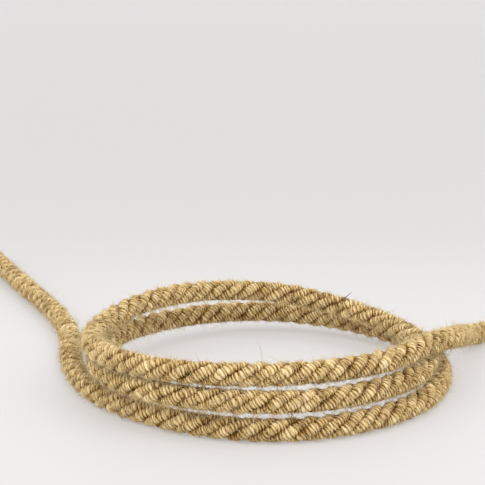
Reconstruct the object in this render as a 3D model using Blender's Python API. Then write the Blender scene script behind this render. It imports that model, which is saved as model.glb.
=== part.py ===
"""A length of jute cord lying in a loose coil of two and a half turns, with both ends running off.

The cord is laid from four strands that turn to the left, so its surface is four slanting ridges.
It lies on the floor at z = 0. Its path is a smooth curve through three short tables of stations,
each a bearing round the coil's middle, a reach from it and a height, the last two in cord diameters.
"""
import math
from collections import namedtuple

import bpy
from mathutils import Vector

# Driving dimensions, in metres.
CORD_DIAMETER = 0.008
LAY_LENGTH = 3.20 * CORD_DIAMETER
RIDGE_RADIUS = 0.50 * CORD_DIAMETER
GROOVE_RADIUS = 0.37 * CORD_DIAMETER
PRESSED_DEPTH = 0.08 * CORD_DIAMETER
COIL_MIDDLE = Vector((0.02004, -0.06034, 0.0))

# Counts.
STRANDS = 4
RING_CORNERS = 3 * STRANDS
RINGS_PER_LAY = 10
CURVE_STEPS = 24

# The height of the cord's middle where it lies on the floor, pressed a little flat, in diameters.
LYING = 0.47

Station = namedtuple("Station", "bearing reach height")

# The first loose end comes in from behind on the left, along the floor, and passes the coil's side.
FIRST_END = (
    Station(125.2, 28.60, LYING),
    Station(127.3, 24.80, LYING),
    Station(130.0, 21.20, LYING),
    Station(134.0, 17.30, LYING),
    Station(140.2, 13.85, LYING),
    Station(150.0, 11.35, LYING),
    Station(163.0, 9.95, LYING),
)

# The coil, a row of reach and height for each eighth of a turn, anticlockwise from its left side.
COIL_START = 180.0
COIL_STEP = 45.0
COIL_ROWS = (
    (9.00, LYING),
    (7.94, LYING),
    (7.90, LYING),
    (7.60, LYING),
    (7.65, 0.50),
    (8.30, 0.60),
    (8.65, 0.90),
    (8.35, 1.05),
    (7.93, 1.32),
    (8.35, 1.69),
    (7.90, 1.67),
    (7.15, 1.49),
    (7.00, 1.37),
    (7.05, 1.60),
    (7.00, 2.36),
    (6.95, 2.73),
    (8.02, 2.40),
    (8.50, 2.73),
    (7.55, 2.74),
    (6.90, 2.55),
)

# The second loose end leaves the top turn, passes over the coil's right side and comes down.
SECOND_END = (
    Station(1062.0, 7.15, 2.45),
    Station(1085.0, 8.40, 1.90),
    Station(1100.0, 9.60, 1.20),
    Station(1109.0, 11.40, 0.64),
    Station(1112.3, 12.90, LYING),
    Station(1113.5, 13.80, LYING),
)


def clear_scene():
    """Remove every object of the open scene."""
    for item in list(bpy.data.objects):
        bpy.data.objects.remove(item, do_unlink=True)


def all_stations():
    """List the stations of the whole path, from the first end to the second."""
    coil = tuple(
        Station(COIL_START + COIL_STEP * row, reach, height)
        for row, (reach, height) in enumerate(COIL_ROWS)
    )
    return FIRST_END + coil + SECOND_END


def station_point(bearing, reach, height):
    """Turn a bearing in degrees, and a reach and height in diameters, into a point in metres."""
    angle = math.radians(bearing)
    flat = Vector((math.cos(angle), math.sin(angle), 0.0)) * reach
    return COIL_MIDDLE + (flat + Vector((0.0, 0.0, height))) * CORD_DIAMETER


def slopes(places, values):
    """Give the slope of values at each place, weighted by its two spans, or level beside a level span."""
    count = len(places)
    spans = [places[i + 1] - places[i] for i in range(count - 1)]
    rises = [(values[i + 1] - values[i]) / spans[i] for i in range(count - 1)]
    inner = [
        0.0 if 0.0 in (rises[i - 1], rises[i])
        else (spans[i] * rises[i - 1] + spans[i - 1] * rises[i]) / (spans[i - 1] + spans[i])
        for i in range(1, count - 1)
    ]
    return [rises[0]] + inner + [rises[-1]]


def cubic(start, end, start_slope, end_slope, span, part):
    """Blend two values with their slopes, at a part from 0 to 1 of the span between them."""
    rest = 1.0 - part
    ends = start * (1.0 + 2.0 * part) * rest * rest + end * part * part * (3.0 - 2.0 * part)
    bends = start_slope * part * rest * rest - end_slope * part * part * rest
    return ends + bends * span


def smooth_path():
    """Compute a fine smooth polyline through all the stations, in metres."""
    stations = all_stations()
    corners = [station_point(*station) for station in stations]
    places = [0.0]
    for before, after in zip(corners, corners[1:]):
        places.append(places[-1] + (after - before).length)
    columns = list(zip(*stations))
    tilts = [slopes(places, column) for column in columns]
    points = []
    for i in range(len(stations) - 1):
        span = places[i + 1] - places[i]
        for step in range(CURVE_STEPS):
            part = step / CURVE_STEPS
            values = [
                cubic(column[i], column[i + 1], tilt[i], tilt[i + 1], span, part)
                for column, tilt in zip(columns, tilts)
            ]
            points.append(station_point(*values))
    points.append(corners[-1])
    return points


def even_path(spacing):
    """Step along the smooth path in equal lengths as near to the spacing as fills it exactly."""
    fine = smooth_path()
    places = [0.0]
    for before, after in zip(fine, fine[1:]):
        places.append(places[-1] + (after - before).length)
    count = round(places[-1] / spacing)
    points = []
    piece = 0
    for step in range(count):
        place = places[-1] * step / count
        while places[piece + 1] < place:
            piece += 1
        part = (place - places[piece]) / (places[piece + 1] - places[piece])
        points.append(fine[piece].lerp(fine[piece + 1], part))
    points.append(fine[-1])
    return points


def directions(points):
    """Give the direction of travel at each point of the path."""
    last = len(points) - 1
    return [
        (points[min(i + 1, last)] - points[max(i - 1, 0)]).normalized()
        for i in range(len(points))
    ]


def ring_points(centre, along, turned):
    """Place one ring of the cord: for each strand the groove before it and the two sides of its ridge."""
    across = Vector((0.0, 0.0, 1.0)).cross(along).normalized()
    upward = along.cross(across)
    points = []
    for corner in range(RING_CORNERS):
        angle = turned + corner * 2.0 * math.pi / RING_CORNERS
        radius = GROOVE_RADIUS if corner % 3 == 0 else RIDGE_RADIUS
        point = centre + radius * (math.cos(angle) * across + math.sin(angle) * upward)
        if point.z < PRESSED_DEPTH:
            point.z = 0.0
        points.append(point)
    return points


def cord_mesh():
    """Sweep the ridged ring along the path, turning it to the left, and close both cut ends."""
    path = even_path(LAY_LENGTH / RINGS_PER_LAY)
    turn = -2.0 * math.pi / RINGS_PER_LAY
    points = []
    for step, (centre, along) in enumerate(zip(path, directions(path))):
        points += ring_points(centre, along, turn * step)
    faces = []
    for ring in range(len(path) - 1):
        base = ring * RING_CORNERS
        for corner in range(RING_CORNERS):
            after = (corner + 1) % RING_CORNERS
            near, near_after = base + corner, base + after
            far, far_after = near + RING_CORNERS, near_after + RING_CORNERS
            faces.append((near, near_after, far_after))
            faces.append((near, far_after, far))
    first_middle = len(points)
    last_middle = first_middle + 1
    points += [path[0], path[-1]]
    last_ring = (len(path) - 1) * RING_CORNERS
    for corner in range(RING_CORNERS):
        after = (corner + 1) % RING_CORNERS
        faces.append((first_middle, after, corner))
        faces.append((last_middle, last_ring + corner, last_ring + after))
    mesh = bpy.data.meshes.new("cord")
    mesh.from_pydata([tuple(point) for point in points], [], faces)
    mesh.validate()
    mesh.shade_smooth()
    mesh.set_sharp_from_angle(angle=math.radians(70.0))
    return mesh


def jute_material():
    """Make the dry golden brown of raw jute."""
    material = bpy.data.materials.new("jute")
    material.use_nodes = True
    shader = material.node_tree.nodes["Principled BSDF"]
    shader.inputs["Base Color"].default_value = (0.51, 0.33, 0.12, 1.0)
    shader.inputs["Roughness"].default_value = 0.9
    shader.inputs["Metallic"].default_value = 0.0
    return material


def main():
    """Build the cord as one closed solid."""
    clear_scene()
    mesh = cord_mesh()
    mesh.materials.append(jute_material())
    cord = bpy.data.objects.new("cord", mesh)
    bpy.context.scene.collection.objects.link(cord)


main()
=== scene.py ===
import math
from collections import namedtuple

import bpy
import numpy as np
from bpy.props import FloatProperty, FloatVectorProperty, IntProperty, PointerProperty
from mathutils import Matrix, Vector


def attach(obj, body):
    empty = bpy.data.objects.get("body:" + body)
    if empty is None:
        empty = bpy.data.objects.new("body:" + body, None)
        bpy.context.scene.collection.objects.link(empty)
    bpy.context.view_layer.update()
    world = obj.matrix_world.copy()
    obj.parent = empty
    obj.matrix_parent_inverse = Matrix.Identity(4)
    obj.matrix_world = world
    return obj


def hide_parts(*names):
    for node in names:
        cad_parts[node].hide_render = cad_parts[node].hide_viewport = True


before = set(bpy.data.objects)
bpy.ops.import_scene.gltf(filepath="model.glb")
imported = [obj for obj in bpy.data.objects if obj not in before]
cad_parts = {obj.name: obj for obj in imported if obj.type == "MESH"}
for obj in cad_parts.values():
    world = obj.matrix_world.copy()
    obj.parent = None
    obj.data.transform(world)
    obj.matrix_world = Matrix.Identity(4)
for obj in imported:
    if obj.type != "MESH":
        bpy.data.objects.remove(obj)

bl_info = {
    "name": "Jute Cord",
    "version": (1, 0, 0),
    "blender": (4, 5, 0),
    "location": "View3D > Sidebar > Jute",
    "description": "Lays a length of twisted jute cord in a loose coil, strand by strand",
    "category": "Add Mesh",
}

NODE = "cord"
BODY = "root"

# The route of the cord, as its solid has it: bearing in degrees round the coil's middle,
# then reach from it and height of the cord's middle, both in cord diameters.
LYING = 0.47
COIL_MIDDLE = (0.02004, -0.06034, 0.0)
COIL_START = 180.0
COIL_STEP = 45.0
Station = namedtuple("Station", "bearing reach height")

FIRST_END = (
    Station(125.2, 28.60, LYING),
    Station(127.3, 24.80, LYING),
    Station(130.0, 21.20, LYING),
    Station(134.0, 17.30, LYING),
    Station(140.2, 13.85, LYING),
    Station(150.0, 11.35, LYING),
    Station(163.0, 9.95, LYING),
)
COIL_ROWS = (
    (9.00, LYING),
    (7.94, LYING),
    (7.90, LYING),
    (7.60, LYING),
    (7.65, 0.50),
    (8.30, 0.60),
    (8.65, 0.90),
    (8.35, 1.05),
    (7.93, 1.32),
    (8.35, 1.69),
    (7.90, 1.67),
    (7.15, 1.49),
    (7.00, 1.37),
    (7.05, 1.60),
    (7.00, 2.36),
    (6.95, 2.73),
    (8.02, 2.40),
    (8.50, 2.73),
    (7.55, 2.74),
    (6.90, 2.55),
)
SECOND_END = (
    Station(1062.0, 7.15, 2.45),
    Station(1085.0, 8.40, 1.90),
    Station(1100.0, 9.60, 1.20),
    Station(1109.0, 11.40, 0.64),
    Station(1112.3, 12.90, LYING),
    Station(1113.5, 13.80, LYING),
)

# How finely the meshes follow the route and the yarn.
CURVE_STEPS = 24
ROUTE_GRAIN = 0.0004
STEPS_ROUND = 12
STEPS_ACROSS = 4

# The radius of a strand from one side of a yarn ridge to the other, as parts of its full radius.
PROFILE = (0.82, 0.97, 1.0, 0.96)

# How the strands stray: how far, then the longest and shortest of the waves in which they do. The angle
# in radians and the radius of a strand's middle line round the cord, along the cord in metres.
Wander = namedtuple("Wander", "size longest shortest")
WAVES = 8
ANGLE_WANDER = Wander(0.075, 0.09, 0.010)
RADIUS_WANDER = Wander(0.022, 0.05, 0.006)
RADIUS_SLACK = 0.01

# The place and lean of a yarn ridge in parts of one ridge, along the strand in turns of the yarn, then the
# strand's radius, along it in metres and in turns.
PLACE_WANDER = Wander(0.17, 19.0, 1.7)
LEAN_WANDER = Wander(0.24, 31.0, 3.0)
STRAND_WANDER = Wander(0.05, 0.012, 0.004)
RIDGE_WANDER = Wander(0.03, 2.9, 0.9)

# Where the random draws of each kind of piece start.
LAYING_SEED = 100
SPINNING_SEED = 200
FUZZ_SEED = 11
STRAY_SEED = 77
SLIT_SEED = 91

# The layers of fuzz: how many fibres, how long and how stout they are beside the usual, how steeply
# the steepest rise, and how many straight bits one has.
Layer = namedtuple("Layer", "name number length stout lift bits")
LAYERS = (
    Layer("fuzz_close", 4.4, 0.50, 1.25, 1.6, 1),
    Layer("fuzz_middle", 1.4, 1.15, 1.0, 0.6, 2),
    Layer("fuzz_proud", 1.3, 0.75, 1.0, 1.8, 2),
)

# The outer side of a strand that has fuzz, in radians each way, and the tuft at a cut end: one fibre of so
# many, rooted so deep in metres, leaning so far along the cord and so much shorter.
FUZZY_SIDE = 1.15
TUFT_PART = 80
TUFT_DEPTH = 0.0012
TUFT_LEAN = 1.6
TUFT_LENGTH = 0.7

# How far short fibres curl and droop, and how much their lengths vary.
FUZZ_CURL = 0.9
FUZZ_DROOP = 0.25
LENGTH_SPREAD = 0.45

# Where longer fibres are rooted, as parts of the cord's radius, and how far all stay above the floor.
STRAY_ROOT = 0.82
SLIT_ROOT = 0.84
HAIR_CLEARANCE = 0.00002

# Two odd dark fibres: name, where the turn below passes, the way the fibre starts and ends, its length
# in metres and how stout it is beside the usual.
LoneHair = namedtuple("LoneHair", "name near first last length stout")
LONE_HAIRS = (
    LoneHair("standing_hair", (0.0147, -0.116, 0.022), (0.10, 0.0, 1.0), (-0.55, 0.0, 1.0), 0.0082, 1.0),
    LoneHair("dark_fleck", (0.0508, -0.009, 0.022), (1.0, 0.0, 0.6), (1.0, 0.0, 1.3), 0.0042, 3.2),
)

# Where fibres reach across the slits between the front turns: bearing on a turn, and the side of it.
SLIT_SIDES = ((222.0, 1.0), (582.0, 1.0), (582.0, -1.0), (942.0, -1.0))
SLIT_REACH = 36.0

# The plain floor, just below the cord. Its own glow changes towards the back over GLOW_LENGTH, from
# GLOW_FRONT in front of the origin on: at each part of that length, a share of the floor's colour.
FLOOR_SIZE = 12.0
FLOOR_DROP = 0.0002
GLOW_STRENGTH = 1.12
GLOW_FRONT = 0.1
GLOW_LENGTH = 1.5
GLOW = ((0.067, 1.0), (0.187, 0.73), (0.367, 0.72), (1.0, 0.84))

# Two soft square lamps in front, one on each side, and the light from all round.
Lamp = namedtuple("Lamp", "name power spot colour")
LAMPS = (
    Lamp("key", 6.2, (0.80, -0.50, 0.95), (1.0, 0.98, 0.96)),
    Lamp("fill", 4.0, (-0.85, -0.50, 0.65), (1.0, 0.985, 0.97)),
)
LAMP_SIZE = 1.0
LAMP_TARGET = (0.0, -0.05, 0.0)
SKY_COLOUR = (0.985, 0.985, 1.0, 1.0)
SKY_STRENGTH = 1.16

# The camera, in cord diameters from the point of the floor in front of the coil's middle.
PICTURE_WIDTH = 485.0
FOCAL_PIXELS = 1634.0
SENSOR_MM = 36.0
CAMERA_SIDE = -1.38
CAMERA_BACK = -71.24
CAMERA_UP = 23.05
CAMERA_PITCH = 13.07


class CordSettings(bpy.types.PropertyGroup):
    """Sizes of the cord and its yarn"""

    diameter: FloatProperty(
        name="Diameter",
        description="Thickness of the cord over the tops of its strands",
        default=0.008,
        unit="LENGTH",
    )
    lay_length: FloatProperty(
        name="Lay length",
        description="Length of cord in which a strand goes once round it",
        default=0.0256,
        unit="LENGTH",
    )
    strands: IntProperty(
        name="Strands",
        description="How many strands the cord is laid from",
        default=4,
    )
    strand_share: FloatProperty(
        name="Strand share",
        description="Radius of a strand as a part of the cord's diameter",
        default=0.206,
    )
    flattening: FloatProperty(
        name="Flattening",
        description="How much wider a strand is along the cord's surface than across it, as a part of it",
        default=0.18,
    )
    wrap: FloatProperty(
        name="Yarn ridge",
        description="Distance along a strand from one ridge of hard-twisted yarn to the next",
        default=0.00105,
        unit="LENGTH",
    )
    unevenness: FloatProperty(
        name="Unevenness",
        description="How much strands and ridges vary, as a part of their size",
        default=1.0,
    )


class FuzzSettings(bpy.types.PropertyGroup):
    """Sizes and numbers of the loose fibres"""

    count: IntProperty(
        name="Fibres",
        description="Usual number of short fibres in a layer of fuzz",
        default=10000,
    )
    length: FloatProperty(
        name="Fibre length",
        description="Usual length of a short fibre",
        default=0.0024,
        unit="LENGTH",
    )
    thickness: FloatProperty(
        name="Fibre thickness",
        description="Radius of a fibre at its root",
        default=0.000055,
        unit="LENGTH",
        precision=6,
    )
    slit_count: IntProperty(
        name="Slit fibres",
        description="How many fibres reach across a slit from each side of it",
        default=120,
    )
    strays: IntProperty(
        name="Stray fibres",
        description="How many long fibres have worked loose and lie across the turns",
        default=60,
    )


class JuteColours(bpy.types.PropertyGroup):
    """Colours of the jute and of the floor"""

    # Hollows is the darkest yarn, and also the colour of the painted shade between the yarn ridges and deep
    # between the strands.
    dark: FloatVectorProperty(
        name="Hollows",
        description="Colour deep between the yarn ridges",
        subtype="COLOR",
        size=3,
        default=(0.150, 0.072, 0.014),
    )
    middle: FloatVectorProperty(
        name="Yarn",
        description="Usual colour of the yarn",
        subtype="COLOR",
        size=3,
        default=(0.575, 0.392, 0.155),
    )
    light: FloatVectorProperty(
        name="Bleached yarn",
        description="Colour of the paler bundles of fibre",
        subtype="COLOR",
        size=3,
        default=(0.90, 0.735, 0.44),
    )
    bark: FloatVectorProperty(
        name="Bark",
        description="Colour of the odd dark fibre",
        subtype="COLOR",
        size=3,
        default=(0.05, 0.036, 0.02),
    )
    fibre: FloatVectorProperty(
        name="Loose fibre",
        description="Colour of single fibres against the light",
        subtype="COLOR",
        size=3,
        default=(0.90, 0.735, 0.42),
    )
    floor: FloatVectorProperty(
        name="Floor",
        description="Colour of the plain surface under the cord",
        subtype="COLOR",
        size=3,
        default=(0.328, 0.319, 0.315),
    )


class Shade:
    """One output of a material's node, with arithmetic that adds Math nodes."""

    def __init__(self, tree, socket):
        self.tree = tree
        self.socket = socket

    def maths(self, operation, left, right):
        """Add a Math node that works on two values or Shades."""
        node = self.tree.nodes.new("ShaderNodeMath")
        node.operation = operation
        for slot, value in zip(node.inputs, (left, right)):
            if isinstance(value, Shade):
                self.tree.links.new(value.socket, slot)
            else:
                slot.default_value = value
        return Shade(self.tree, node.outputs[0])

    def __add__(self, other):
        return self.maths("ADD", self, other)

    def __radd__(self, other):
        return self.maths("ADD", other, self)

    def __sub__(self, other):
        return self.maths("SUBTRACT", self, other)

    def __rsub__(self, other):
        return self.maths("SUBTRACT", other, self)

    def __mul__(self, other):
        return self.maths("MULTIPLY", self, other)

    def __rmul__(self, other):
        return self.maths("MULTIPLY", other, self)

    def __pow__(self, other):
        return self.maths("POWER", self, other)

    def __abs__(self):
        return self.maths("ABSOLUTE", self, 0.0)


class Finish:
    """A material under construction."""

    def __init__(self, name):
        self.material = bpy.data.materials.new(name)
        self.material.use_nodes = True
        self.tree = self.material.node_tree
        self.shader = self.tree.nodes["Principled BSDF"]

    def node(self, kind, settings=None, values=None, output=0):
        """Add a node: its settings first, then the values or links of its sockets."""
        node = self.tree.nodes.new(kind)
        for name, value in (settings or {}).items():
            if name == "stops":
                self.set_stops(node.color_ramp, value)
            else:
                setattr(node, name, value)
        for name, value in (values or {}).items():
            self.feed(node.inputs[name], value)
        return Shade(self.tree, node.outputs[output])

    def split(self, vector):
        """Give the X and the Y of a vector."""
        parts = self.node("ShaderNodeSeparateXYZ", values={"Vector": vector}).socket.node.outputs
        return Shade(self.tree, parts[0]), Shade(self.tree, parts[1])

    def noise(self, vector, scale, detail, roughness, settings=None):
        """Add a noise texture, read at a vector."""
        values = {"Vector": vector, "Scale": scale, "Detail": detail, "Roughness": roughness}
        return self.node("ShaderNodeTexNoise", settings, values)

    def set_stops(self, ramp, stops):
        """Give a colour ramp its stops, each a place and a colour."""
        while len(ramp.elements) < len(stops):
            ramp.elements.new(0.5)
        for element, (place, colour) in zip(ramp.elements, stops):
            element.position = place
            element.color = (*colour, 1.0)

    def feed(self, socket, value):
        """Link a Shade to a socket, or set the socket's value."""
        if isinstance(value, Shade):
            self.tree.links.new(value.socket, socket)
        else:
            socket.default_value = value

    def surface(self, values):
        """Feed the sockets of the material's own shader."""
        for name, value in values.items():
            self.feed(self.shader.inputs[name], value)


def all_stations():
    """List the stations of the whole route, from the long end to the short one."""
    coil = tuple(
        Station(COIL_START + COIL_STEP * row, reach, height)
        for row, (reach, height) in enumerate(COIL_ROWS)
    )
    return np.array(FIRST_END + coil + SECOND_END)


def station_points(stations, diameter):
    """Turn rows of bearing, reach and height into points in metres."""
    angle = np.radians(stations[:, 0])
    flat = stations[:, 1] * np.array([np.cos(angle), np.sin(angle)])
    return np.array(COIL_MIDDLE) + np.column_stack([flat[0], flat[1], stations[:, 2]]) * diameter


def places_along(points):
    """Give the distance of each point from the first, along the line through them."""
    return np.concatenate([[0.0], np.cumsum(np.linalg.norm(np.diff(points, axis=0), axis=1))])


def smooth_route(diameter):
    """Compute the same smooth polyline through all the stations as the solid follows."""
    stations = all_stations()
    spans = np.diff(places_along(station_points(stations, diameter)))[:, None]
    rises = np.diff(stations, axis=0) / spans
    before, after = rises[:-1], rises[1:]
    inner = (spans[1:] * before + spans[:-1] * after) / (spans[1:] + spans[:-1])
    inner[(before == 0.0) | (after == 0.0)] = 0.0
    slopes = np.vstack([rises[:1], inner, rises[-1:]])
    rows = []
    for part in np.arange(CURVE_STEPS) / CURVE_STEPS:
        rest = 1.0 - part
        ends = stations[:-1] * (1.0 + 2.0 * part) * rest ** 2
        ends = ends + stations[1:] * part ** 2 * (3.0 - 2.0 * part)
        bends = slopes[:-1] * part * rest ** 2 - slopes[1:] * part ** 2 * rest
        rows.append(ends + bends * spans)
    curve = np.stack(rows, axis=1).reshape(-1, 3)
    return station_points(np.vstack([curve, stations[-1:]]), diameter)


def unit(vectors):
    """Scale each row to length one."""
    return vectors / np.linalg.norm(vectors, axis=1, keepdims=True)


def turned_from(first, second, angles):
    """Turn each row of the first directions towards the second ones by its angle."""
    return np.cos(angles)[:, None] * first + np.sin(angles)[:, None] * second


def read_rows(wanted, known, rows):
    """Read rows, one for each known place, at the wanted places between them."""
    return np.column_stack([np.interp(wanted, known, column) for column in rows.T])


class Route:
    """The cord's middle line, evenly stepped, with two directions across it at each step."""

    def __init__(self, diameter):
        rough = smooth_route(diameter)
        self.rough = rough
        places = places_along(rough)
        self.length = places[-1]
        self.place = np.linspace(0.0, self.length, round(self.length / ROUTE_GRAIN) + 1)
        self.points = read_rows(self.place, places, rough)
        self.along = unit(np.gradient(self.points, axis=0))
        self.across = unit(np.cross((0.0, 0.0, 1.0), self.along))
        self.upward = np.cross(self.along, self.across)

    def at(self, places, rows):
        """Read rows, one for each step of the route, at any places along it."""
        return read_rows(places, self.place, rows)


def wander(kind, loose, places, dice):
    """Give a soft random wave of the kind's size, made of eight lengths and at most twice that size."""
    lengths = np.geomspace(kind.longest, kind.shortest, WAVES)
    starts = dice.uniform(0.0, 2.0 * math.pi, WAVES)
    waves = [np.sin(2.0 * math.pi * places / size + start) for size, start in zip(lengths, starts)]
    return kind.size * loose * np.clip(0.5 * sum(waves), -2.0, 2.0)


def new_object(name, points, faces, material):
    """Make a smooth mesh object at the origin from points and a list of face arrays."""
    mesh = bpy.data.meshes.new(name)
    sizes = np.concatenate([np.full(len(block), block.shape[1]) for block in faces])
    corners = np.concatenate([block.reshape(-1) for block in faces])
    mesh.vertices.add(len(points))
    mesh.vertices.foreach_set("co", np.asarray(points, np.float32).reshape(-1))
    mesh.loops.add(len(corners))
    mesh.loops.foreach_set("vertex_index", corners.astype(np.int32))
    mesh.polygons.add(len(sizes))
    starts = np.concatenate([[0], np.cumsum(sizes)[:-1]])
    mesh.polygons.foreach_set("loop_start", starts.astype(np.int32))
    mesh.update(calc_edges=True)
    mesh.validate()
    mesh.shade_smooth()
    mesh.materials.append(material)
    item = bpy.data.objects.new(name, mesh)
    bpy.context.scene.collection.objects.link(item)
    return item


def place_piece(item):
    """Let a piece ride with the cord's body."""
    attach(item, BODY)


def strand_line(route, index, settings):
    """Wind the middle line of one strand to the left round the cord's, a little unevenly."""
    dice = np.random.default_rng(LAYING_SEED + index)
    loose = settings.unevenness
    radius = (0.5 - settings.strand_share) * settings.diameter
    angle = 2.0 * math.pi * ((index + 0.5) / settings.strands - route.place / settings.lay_length)
    angle = angle + wander(ANGLE_WANDER, loose, route.place, dice)
    radius = radius * (1.0 + wander(RADIUS_WANDER, loose, route.place, dice) - RADIUS_SLACK)
    outward = turned_from(route.across, route.upward, angle)
    return route.points + radius[:, None] * outward, outward


def strand_grid(route, index, settings):
    """Compute the points of one strand: a ridge of hard-twisted yarn wound round it, step by step."""
    middle, outward = strand_line(route, index, settings)
    dice = np.random.default_rng(SPINNING_SEED + index)
    loose = settings.unevenness
    places = places_along(middle)
    along = unit(np.gradient(middle, axis=0))
    side = unit(outward - (outward * along).sum(axis=1, keepdims=True) * along)
    other = np.cross(along, side)
    turns = (places[-1] - settings.wrap) / settings.wrap
    steps = int(turns * STEPS_ROUND)
    step = np.arange(steps + 1)[:, None]
    across = np.arange(STEPS_ACROSS)[None, :]
    turned = step / STEPS_ROUND + across / STEPS_ACROSS
    shift = wander(PLACE_WANDER, loose, turned, dice)
    spot = np.clip((turned + shift) * settings.wrap, 0.0, places[-1])
    angle = np.broadcast_to(2.0 * math.pi * step / STEPS_ROUND, turned.shape)
    lean = wander(LEAN_WANDER, loose, turned, dice)
    spot = np.clip(spot + lean * settings.wrap * np.cos(angle), 0.0, places[-1])
    size = settings.strand_share * settings.diameter
    size = size * (1.0 + wander(STRAND_WANDER, loose, spot, dice))
    size = size * (1.0 + wander(RIDGE_WANDER, loose, turned, dice))
    size = size * (1.0 + settings.flattening * np.sin(angle) ** 2) * np.array(PROFILE)[None, :]
    flat = spot.reshape(-1)
    ring = turned_from(read_rows(flat, places, side), read_rows(flat, places, other), angle.reshape(-1))
    points = read_rows(flat, places, middle) + size.reshape(-1, 1) * ring
    # How far out each point stands, as a part of the cord's radius; the yarn's finish uses it to paint
    # shade deep between the strands.
    centre = read_rows(flat, places, route.points)
    away = np.linalg.norm(np.cross(points - centre, read_rows(flat, places, route.along)), axis=1)
    points[:, 2] = np.maximum(points[:, 2], 0.0)
    return points, steps, middle, away / (0.5 * settings.diameter)


def strand_faces(steps, last):
    """Join the grid's points into one closed skin: the far side of each ridge meets the next turn."""
    def spot(step, across):
        return step * STEPS_ACROSS + across

    step = np.arange(steps)[:, None]
    across = np.arange(STEPS_ACROSS - 1)[None, :]
    inner = np.stack(
        [spot(step, across), spot(step + 1, across), spot(step + 1, across + 1), spot(step, across + 1)],
        axis=2,
    ).reshape(-1, 4)
    edge = STEPS_ACROSS - 1
    step = np.arange(steps - STEPS_ROUND)
    after = step + STEPS_ROUND
    seam = np.stack([spot(step, edge), spot(step + 1, edge), spot(after + 1, 0), spot(after, 0)], axis=1)
    first = [spot(k, 0) for k in range(STEPS_ROUND, -1, -1)] + [spot(0, k) for k in range(1, STEPS_ACROSS)]
    final = [spot(k, edge) for k in range(steps - STEPS_ROUND, steps + 1)]
    final += [spot(steps, k) for k in range(edge - 1, -1, -1)]
    caps = [
        (middle, loop[k], loop[(k + 1) % len(loop)])
        for middle, loop in ((last, first), (last + 1, final))
        for k in range(len(loop))
    ]
    return inner, seam, np.array(caps)


def strand_maps(item, steps, proud):
    """Lay the map along the ridges, U counting turns and V across one, and keep how proud each point is,
    which the yarn's finish turns into painted shade deep between the strands.
    """
    mark = item.data.attributes.new("proud", "FLOAT", "POINT")
    mark.data.foreach_set("value", np.concatenate([proud, (0.5, 0.5)]).astype(np.float32))
    layer = item.data.uv_layers.new(name="ridge")
    count = len(item.data.loops)
    corner = np.empty(count, np.int32)
    item.data.loops.foreach_get("vertex_index", corner)
    turned = (corner // STEPS_ACROSS) / STEPS_ROUND
    part = (corner % STEPS_ACROSS) / STEPS_ACROSS
    inner = steps * (STEPS_ACROSS - 1) * 4
    seam = (steps - STEPS_ROUND) * 4
    past = np.arange(inner, inner + seam).reshape(-1, 4)[:, 2:].reshape(-1)
    turned[past] -= 1.0
    part[past] = 1.0
    layer.data.foreach_set("uv", np.column_stack([turned, part]).astype(np.float32).reshape(-1))


def jute_finish(colours, index):
    """Dry yarn: fine fibre along each ridge, uneven bundles, and painted shade in the hollows between
    ridges and deep between the strands.
    """
    finish = Finish(f"jute_strand_{index + 1}")
    ridge = finish.node("ShaderNodeUVMap", {"uv_map": "ridge"})
    place = finish.node("ShaderNodeTexCoord", output=3)
    turned, part = finish.split(ridge)
    # Painted shade: points nearer the cord's middle line, deep between the strands, come out darker.
    proud = finish.node("ShaderNodeAttribute", {"attribute_name": "proud"}, output=2)
    # Painted shade: the hollow mask darkens the yarn between its ridges, and it also shapes the bump.
    hollow = abs(part * 2.0 - 1.0) ** 2.2
    seed = 17.0 * index
    threads = finish.node(
        "ShaderNodeCombineXYZ", values={"X": turned * 3.0, "Y": part * 3.4 + turned * 7.3, "Z": seed}
    )
    fine = finish.noise(threads, 1.0, 3.0, 0.65)
    wide = finish.node(
        "ShaderNodeCombineXYZ", values={"X": turned * 0.8, "Y": part * 0.9 + turned * 1.7, "Z": seed + 5.0}
    )
    bundle = finish.noise(wide, 1.0, 2.0, 0.6)
    patch = finish.noise(place, 75.0, 2.0, 0.5)
    run = finish.node("ShaderNodeCombineXYZ", values={"X": turned * 0.22, "Y": seed})
    lump = finish.noise(run, 1.0, 1.0, 0.5, {"noise_dimensions": "2D"})
    # How much each pattern lightens the yarn, brought down to the range of the colour ramp. The proud and
    # hollow terms are painted shade: yarn deep between the strands and in the hollows between ridges comes
    # out darker.
    tone = fine * 2.0 + bundle + lump * 0.9 + patch * 0.4 + proud * 1.6 - 3.07 - hollow * 0.50
    stops = ((0.10, colours.dark), (0.50, colours.middle), (0.92, colours.light))
    colour = finish.node("ShaderNodeValToRGB", {"stops": stops}, {"Fac": tone})
    height = fine * 0.8 + bundle * 0.4 - hollow * 0.5
    bump = finish.node("ShaderNodeBump", values={"Strength": 0.75, "Distance": 0.00028, "Height": height})
    finish.surface(
        {
            "Base Color": colour,
            "Roughness": 0.92 - fine * 0.22,
            "Normal": bump,
            "Specular IOR Level": 0.03,
        }
    )
    return finish.material


def fibre_finish(name, colour):
    """Single dry fibres, paler or darker from one to the next."""
    finish = Finish(name)
    place = finish.node("ShaderNodeTexCoord", output=3)
    patch = finish.noise(place, 900.0, 1.0, 0.5)
    darker = tuple(0.62 * part for part in colour)
    stops = ((0.30, darker), (0.70, tuple(colour)))
    tint = finish.node("ShaderNodeValToRGB", {"stops": stops}, {"Fac": patch})
    finish.surface({"Base Color": tint, "Roughness": 0.85 - patch * 0.2, "Specular IOR Level": 0.0})
    return finish.material


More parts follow.
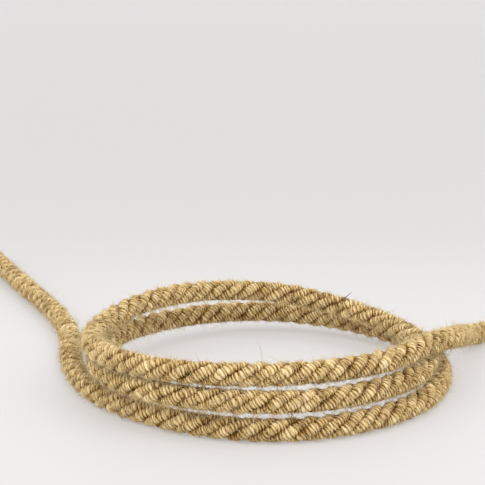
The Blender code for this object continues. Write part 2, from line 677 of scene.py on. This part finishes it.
def hair_mesh(name, roots, first, last, lengths, thickness, material, segments=2):
    """Join many fibres into one mesh, each a thin three-sided spike that bends from first to last."""
    count = len(roots)
    part = np.linspace(0.0, 1.0, segments + 1)
    run = (part - 0.5 * part ** 2)[None, :, None] * first[:, None, :]
    run = run + (0.5 * part ** 2)[None, :, None] * last[:, None, :]
    line = roots[:, None, :] + run * lengths[:, None, None]
    way = np.gradient(line, axis=1)[:, :-1]
    way = way / np.linalg.norm(way, axis=2, keepdims=True)
    side = np.cross(way, np.where(np.abs(way[..., 2:]) > 0.8, (1.0, 0.0, 0.0), (0.0, 0.0, 1.0)))
    side = side / np.linalg.norm(side, axis=2, keepdims=True)
    other = np.cross(way, side)
    taper = (1.0 - 0.5 * part[:-1])[None, :, None, None] * np.asarray(thickness).reshape(-1, 1, 1, 1)
    turn = (np.arange(3) * 2.0 * math.pi / 3.0)[None, None, :, None]
    rings = taper * (np.cos(turn) * side[:, :, None, :] + np.sin(turn) * other[:, :, None, :])
    rings = (line[:, :-1, None, :] + rings).reshape(count, -1, 3)
    points = np.concatenate([rings, line[:, -1:]], axis=1)
    points[..., 2] = np.maximum(points[..., 2], HAIR_CLEARANCE)
    base = (np.arange(count) * (segments * 3 + 1))[:, None, None]
    corner = np.arange(3)[None, None, :]
    after = (corner + 1) % 3
    near = base + (np.arange(segments - 1) * 3)[None, :, None]
    walls = np.stack([near + corner, near + after, near + after + 3, near + corner + 3], axis=3)
    top = base + (segments - 1) * 3
    ends = np.stack(np.broadcast_arrays(top + corner, top + after, top + 3), axis=3)
    start = base[:, 0] + np.array([[0, 2, 1]])
    faces = [walls.reshape(-1, 4), np.vstack([start, ends.reshape(-1, 3)])]
    return new_object(name, points.reshape(-1, 3), faces, material)


def around(route, places, angles, share, settings):
    """Give points at a share of the cord's radius, with the outward direction at each."""
    outward = turned_from(route.at(places, route.across), route.at(places, route.upward), angles)
    return route.at(places, route.points) + share * 0.5 * settings.diameter * outward, outward


def any_way(along, outward, dice):
    """Pick a random direction along the surface at each root."""
    sideways = np.cross(along, outward)
    return turned_from(along, sideways, dice.uniform(0.0, 2.0 * math.pi, len(along)))


def strand_roots(route, index, dice, count, settings):
    """Pick points on the outer sides of one strand, some at its two cut ends, with directions there."""
    middle, outward = strand_line(route, index, settings)
    tuft = count // TUFT_PART
    near, far = slice(0, tuft), slice(tuft, 2 * tuft)
    places = dice.uniform(0.0, route.length, count)
    places[near] = dice.uniform(0.0, TUFT_DEPTH, tuft)
    places[far] = route.length - dice.uniform(0.0, TUFT_DEPTH, tuft)
    share = dice.uniform(0.86, 1.0, count)
    share[:2 * tuft] = np.sqrt(dice.uniform(0.02, 0.9, 2 * tuft))
    angles = dice.uniform(-FUZZY_SIDE, FUZZY_SIDE, count)
    ends = np.zeros(count)
    ends[near] = -TUFT_LEAN
    ends[far] = TUFT_LEAN
    along = route.at(places, route.along)
    side = route.at(places, outward)
    out = turned_from(side, np.cross(along, side), angles)
    reach = share * settings.strand_share * settings.diameter
    reach = reach * (1.0 + settings.flattening * np.sin(angles) ** 2)
    return route.at(places, middle) + reach[:, None] * out, out, along, ends


def fuzz_layer(layer, route, settings, fuzz, seed, material):
    """Raise one layer of short fibres all over the strands, with a tuft at each cut end."""
    dice = np.random.default_rng(seed)
    count = round(fuzz.count * layer.number / settings.strands)
    parts = [strand_roots(route, index, dice, count, settings) for index in range(settings.strands)]
    roots, outward, along, ends = (np.concatenate(rows) for rows in zip(*parts))
    total = len(roots)
    flat = any_way(along, outward, dice)
    rise = dice.uniform(0.05, layer.lift, total)[:, None]
    first = unit(unit(flat + rise * outward) + ends[:, None] * along)
    last = unit(first + FUZZ_CURL * dice.normal(size=(total, 3)) - FUZZ_DROOP * outward)
    lengths = fuzz.length * layer.length * dice.lognormal(0.0, LENGTH_SPREAD, total)
    lengths[ends != 0.0] *= TUFT_LENGTH
    thickness = fuzz.thickness * layer.stout * dice.uniform(0.6, 1.3, total)
    return hair_mesh(layer.name, roots, first, last, lengths, thickness, material, segments=layer.bits)


def stray_fibres(route, settings, fuzz, material):
    """Lay long loose fibres over the turns and across the slits between them."""
    dice = np.random.default_rng(STRAY_SEED)
    count = fuzz.strays
    places = dice.uniform(0.02, route.length - 0.02, count)
    angles = dice.uniform(-0.3 * math.pi, 1.3 * math.pi, count)
    roots, outward = around(route, places, angles, STRAY_ROOT, settings)
    flat = any_way(route.at(places, route.along), outward, dice)
    first = unit(flat + dice.uniform(0.12, 0.5, count)[:, None] * outward)
    last = unit(first - 1.2 * outward + 0.7 * dice.normal(size=(count, 3)))
    lengths = dice.uniform(0.007, 0.017, count)
    thickness = fuzz.thickness * dice.uniform(0.9, 1.6, count)
    return hair_mesh("stray_fibres", roots, first, last, lengths, thickness, material, segments=8)


def slit_fibres(route, settings, fuzz, material):
    """Let short fibres reach across the narrow slits at the coil's left front."""
    dice = np.random.default_rng(SLIT_SEED)
    flat = route.points - np.array(COIL_MIDDLE)
    bearing = np.degrees(np.unwrap(np.arctan2(flat[:, 1], flat[:, 0])))
    start, side = np.repeat(np.array(SLIT_SIDES), fuzz.slit_count, axis=0).T
    total = len(start)
    places = np.interp(start + SLIT_REACH * dice.uniform(0.0, 1.0, total) ** 1.4, bearing, route.place)
    angles = 0.5 * math.pi * side + dice.uniform(-0.6, 0.6, total)
    roots, outward = around(route, places, angles, SLIT_ROOT, settings)
    first = unit(outward + 0.55 * dice.normal(size=(total, 3)))
    last = unit(first + 0.8 * dice.normal(size=(total, 3)))
    lengths = dice.uniform(0.0012, 0.0030, total)
    thickness = fuzz.thickness * dice.uniform(0.8, 1.6, total)
    return hair_mesh("slit_fibres", roots, first, last, lengths, thickness, material)


def lone_hair(route, settings, fuzz, hair, material):
    """Stand one fibre on top of the turn that passes nearest to a point."""
    step = int(np.argmin(np.linalg.norm(route.points - np.array(hair.near), axis=1)))
    root = route.points[step] + 0.48 * settings.diameter * route.upward[step]
    first, last = unit(np.array([hair.first])), unit(np.array([hair.last]))
    lengths, thickness = np.array([hair.length]), np.array([hair.stout * fuzz.thickness])
    return hair_mesh(hair.name, root[None, :], first, last, lengths, thickness, material, segments=8)


class JUTE_OT_camera(bpy.types.Operator):
    """Set the camera low in front of the coil"""

    bl_idname = "jute.camera"
    bl_label = "Set the camera"

    def execute(self, context):
        size = context.scene.jute_cord.diameter
        data = bpy.data.cameras.new("camera")
        data.sensor_width = SENSOR_MM
        data.lens = SENSOR_MM * FOCAL_PIXELS / PICTURE_WIDTH
        camera = bpy.data.objects.new("camera", data)
        spot = Vector((CAMERA_SIDE, CAMERA_BACK, CAMERA_UP)) * size
        camera.location = Vector(COIL_MIDDLE) + spot
        camera.rotation_euler = (math.radians(90.0 - CAMERA_PITCH), 0.0, 0.0)
        context.scene.collection.objects.link(camera)
        context.scene.camera = camera
        return {"FINISHED"}


class JUTE_OT_strands(bpy.types.Operator):
    """Lay the strands of the cord along its route"""

    bl_idname = "jute.strands"
    bl_label = "Lay the strands"

    def execute(self, context):
        settings = context.scene.jute_cord
        colours = context.scene.jute_colours
        route = Route(settings.diameter)
        for index in range(settings.strands):
            points, steps, middle, proud = strand_grid(route, index, settings)
            faces = strand_faces(steps, len(points))
            points = np.vstack([points, middle[:1], middle[-1:]])
            item = new_object(f"strand_{index + 1}", points, faces, jute_finish(colours, index))
            strand_maps(item, steps, proud)
            place_piece(item)
            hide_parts(NODE)
        return {"FINISHED"}


class JUTE_OT_fuzz(bpy.types.Operator):
    """Raise short fibres all over the cord"""

    bl_idname = "jute.fuzz"
    bl_label = "Raise the fuzz"

    def execute(self, context):
        settings, fuzz = context.scene.jute_cord, context.scene.jute_fuzz
        colour = context.scene.jute_colours.fibre
        material = fibre_finish("jute_fibre", colour)
        route = Route(settings.diameter)
        for seed, layer in enumerate(LAYERS):
            place_piece(fuzz_layer(layer, route, settings, fuzz, FUZZ_SEED + seed, material))
        place_piece(stray_fibres(route, settings, fuzz, material))
        place_piece(slit_fibres(route, settings, fuzz, material))
        bark = fibre_finish("jute_bark", context.scene.jute_colours.bark)
        for hair in LONE_HAIRS:
            place_piece(lone_hair(route, settings, fuzz, hair, bark))
        return {"FINISHED"}


class JUTE_OT_declare(bpy.types.Operator):
    """Work out the cord's route and list the names of its pieces."""

    bl_idname = "jute.declare"
    bl_label = "Declare the cord"

    def execute(self, context):
        settings = context.scene.jute_cord
        route = Route(settings.diameter)
        names = [f"strand_{index + 1}" for index in range(settings.strands)]
        others = names[1:] + [layer.name for layer in LAYERS] + ["stray_fibres", "slit_fibres"]
        others = others + [hair.name for hair in LONE_HAIRS]
        return {"FINISHED"}


class JUTE_OT_stage(bpy.types.Operator):
    """Lay the pale floor and light it softly"""

    bl_idname = "jute.stage"
    bl_label = "Light the stage"

    def execute(self, context):
        bpy.ops.object.select_all(action="DESELECT")
        bpy.ops.mesh.primitive_plane_add(size=FLOOR_SIZE, location=(0.0, 0.0, -FLOOR_DROP))
        floor = context.object
        floor.name = "floor"
        floor.data.materials.append(self.floor_finish(tuple(context.scene.jute_colours.floor)))
        for lamp in LAMPS:
            self.hang(lamp)
        world = bpy.data.worlds.new("studio")
        world.use_nodes = True
        background = world.node_tree.nodes["Background"]
        background.inputs["Color"].default_value = SKY_COLOUR
        background.inputs["Strength"].default_value = SKY_STRENGTH
        context.scene.world = world
        context.scene.view_settings.view_transform = "Standard"
        return {"FINISHED"}

    def floor_finish(self, pale):
        """Make the floor's plain pale finish, which glows less towards the back."""
        finish = Finish("floor")
        place = finish.node("ShaderNodeTexCoord", output=3)
        _, back = finish.split(place)
        stops = tuple((spot, tuple(part * share for part in pale)) for spot, share in GLOW)
        glow = finish.node(
            "ShaderNodeValToRGB", {"stops": stops}, {"Fac": (back + GLOW_FRONT) * (1.0 / GLOW_LENGTH)}
        )
        finish.surface(
            {
                "Base Color": (*pale, 1.0),
                "Roughness": 0.6,
                "Specular IOR Level": 0.2,
                "Emission Color": glow,
                "Emission Strength": GLOW_STRENGTH,
            }
        )
        return finish.material

    def hang(self, lamp):
        """Hang a square soft lamp that faces the cord."""
        data = bpy.data.lights.new(lamp.name, "AREA")
        data.energy = lamp.power
        data.size = LAMP_SIZE
        data.color = lamp.colour
        light = bpy.data.objects.new(lamp.name, data)
        light.location = lamp.spot
        aim = Vector(LAMP_TARGET) - Vector(lamp.spot)
        light.rotation_euler = aim.to_track_quat("-Z", "Y").to_euler()
        bpy.context.scene.collection.objects.link(light)


class JUTE_PT_panel(bpy.types.Panel):
    """Buttons and sizes for the cord"""

    bl_label = "Jute Cord"
    bl_idname = "JUTE_PT_panel"
    bl_space_type = "VIEW_3D"
    bl_region_type = "UI"
    bl_category = "Jute"

    def draw(self, context):
        layout = self.layout
        for group in (context.scene.jute_cord, context.scene.jute_fuzz, context.scene.jute_colours):
            box = layout.box()
            for name in group.bl_rna.properties.keys():
                if name not in {"rna_type", "name"}:
                    box.prop(group, name)
        for operator in OPERATORS:
            layout.operator(operator.bl_idname)


OPERATORS = (JUTE_OT_camera, JUTE_OT_strands, JUTE_OT_fuzz, JUTE_OT_declare, JUTE_OT_stage)
CLASSES = (CordSettings, FuzzSettings, JuteColours) + OPERATORS + (JUTE_PT_panel,)


def register():
    """Register the classes and hang their settings on the scene."""
    for item in CLASSES:
        bpy.utils.register_class(item)
    bpy.types.Scene.jute_cord = PointerProperty(type=CordSettings)
    bpy.types.Scene.jute_fuzz = PointerProperty(type=FuzzSettings)
    bpy.types.Scene.jute_colours = PointerProperty(type=JuteColours)


def unregister():
    """Take the settings and the classes away again."""
    del bpy.types.Scene.jute_cord
    del bpy.types.Scene.jute_fuzz
    del bpy.types.Scene.jute_colours
    for item in reversed(CLASSES):
        bpy.utils.unregister_class(item)


def corners(box):
    """Write a box's two corners as plain lists."""
    return [[round(float(value), 6) for value in corner] for corner in box]


def main():
    """Build every piece."""
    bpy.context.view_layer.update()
    register()
    bpy.ops.jute.camera()
    bpy.ops.jute.strands()
    bpy.ops.jute.fuzz()
    bpy.ops.jute.declare()
    bpy.ops.jute.stage()


if __name__ == "__main__":
    main()
